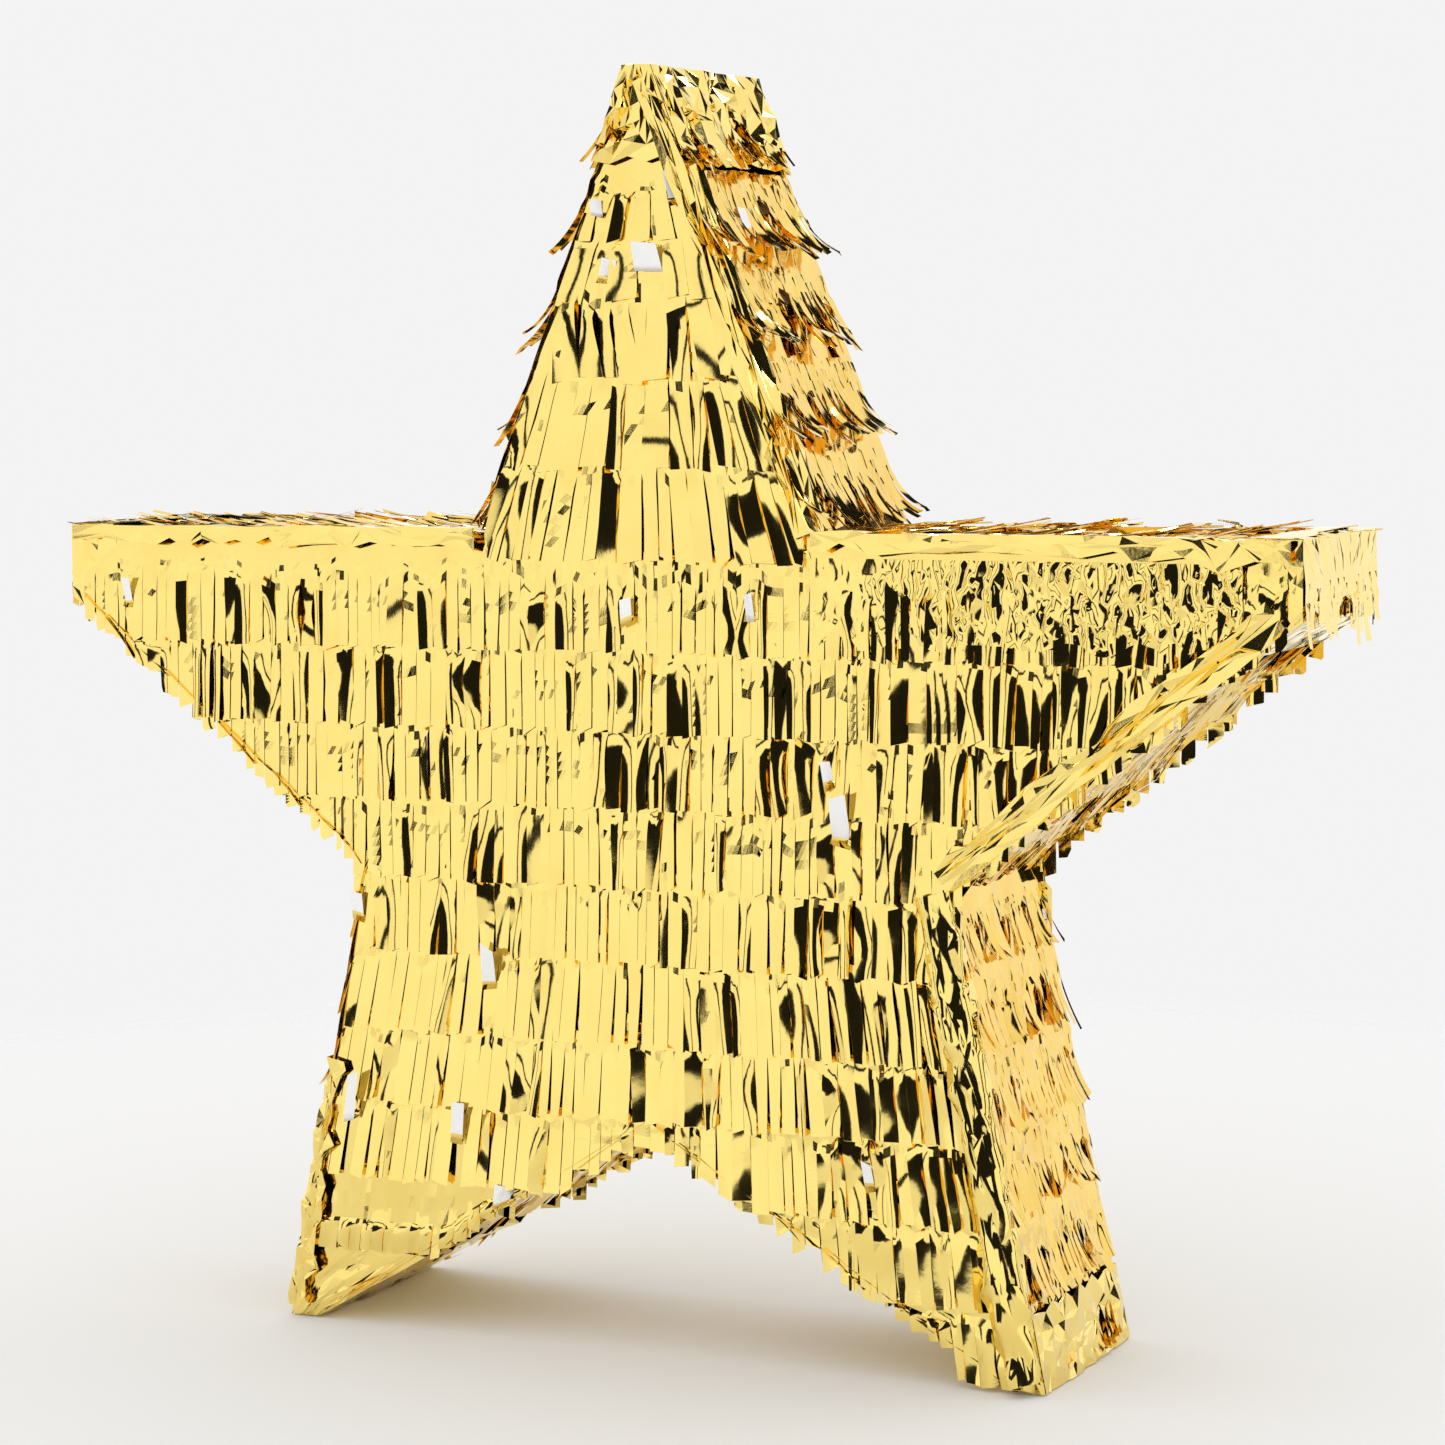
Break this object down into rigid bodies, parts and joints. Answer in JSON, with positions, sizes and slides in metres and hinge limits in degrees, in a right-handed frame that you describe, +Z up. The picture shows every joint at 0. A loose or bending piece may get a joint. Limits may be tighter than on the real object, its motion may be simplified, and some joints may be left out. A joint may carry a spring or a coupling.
{
  "type": "star pinata",
  "caption": "Hollow five-pointed card star pinata wrapped in rows of gold foil fringe, with a filling flap that swings open in its back.",
  "frame": {"origin": "middle of the footprint on the floor, straight below the top point, with the star standing on its two feet", "axes": "+Z up through the top point, the front face looks towards -Y, +X along the two level side points, to the right as seen from the front"},
  "size_m": [0.462, 0.088, 0.436],
  "materials": {
    "gold_fringe": "polished",
    "gold_wrap": "polished",
    "crease_foil": "gloss",
    "kraft_card": "matte"
  },
  "bodies": {
    "shell": {"back_fringe_01": "gold_fringe", "back_fringe_02": "gold_fringe", "back_fringe_03": "gold_fringe", "back_fringe_04": "gold_fringe", "back_fringe_05": "gold_fringe", "back_fringe_06": "gold_fringe", "back_fringe_07": "gold_fringe", "back_fringe_08_left": "gold_fringe", "back_fringe_08_right": "gold_fringe", "back_fringe_09_left": "gold_fringe", "back_fringe_09_right": "gold_fringe", "back_fringe_10": "gold_fringe", "back_fringe_11": "gold_fringe", "back_fringe_12": "gold_fringe", "back_fringe_13": "gold_fringe", "back_fringe_14_left": "gold_fringe", "back_fringe_14_right": "gold_fringe", "back_panel": "kraft_card", "flap_crease_foil": "crease_foil", "front_fringe_01": "gold_fringe", "front_fringe_02": "gold_fringe", "front_fringe_03": "gold_fringe", "front_fringe_04": "gold_fringe", "front_fringe_05": "gold_fringe", "front_fringe_06": "gold_fringe", "front_fringe_07": "gold_fringe", "front_fringe_08": "gold_fringe", "front_fringe_09": "gold_fringe", "front_fringe_10": "gold_fringe", "front_fringe_11": "gold_fringe", "front_fringe_12": "gold_fringe", "front_fringe_13": "gold_fringe", "front_fringe_14_left": "gold_fringe", "front_fringe_14_right": "gold_fringe", "front_panel": "kraft_card", "hanging_board": "kraft_card", "left_arm_cap": "gold_wrap", "left_arm_flank_top": "gold_fringe", "left_arm_flank_under": "gold_fringe", "left_foot_cap": "gold_wrap", "left_leg_flank_inner": "gold_fringe", "left_leg_flank_outer": "gold_fringe", "left_wall": "kraft_card", "lower_left_wall": "kraft_card", "lower_right_wall": "kraft_card", "right_arm_cap": "gold_wrap", "right_arm_flank_top": "gold_fringe", "right_arm_flank_under": "gold_fringe", "right_foot_cap": "gold_wrap", "right_leg_flank_inner": "gold_fringe", "right_leg_flank_outer": "gold_fringe", "right_wall": "kraft_card", "top_cap": "gold_wrap", "top_flank_left": "gold_fringe", "top_flank_right": "gold_fringe", "top_wall": "kraft_card"},
    "flap": {"fill_flap": "kraft_card", "flap_fringe": "gold_fringe"}
  },
  "joints": [
    {"name": "flap_hinge", "type": "hinge", "parent": "shell", "child": "flap", "pos_m": [-0.045, 0.041, 0.192], "axis": [0, 0, 1], "range_deg": [0, 110]}
  ]
}
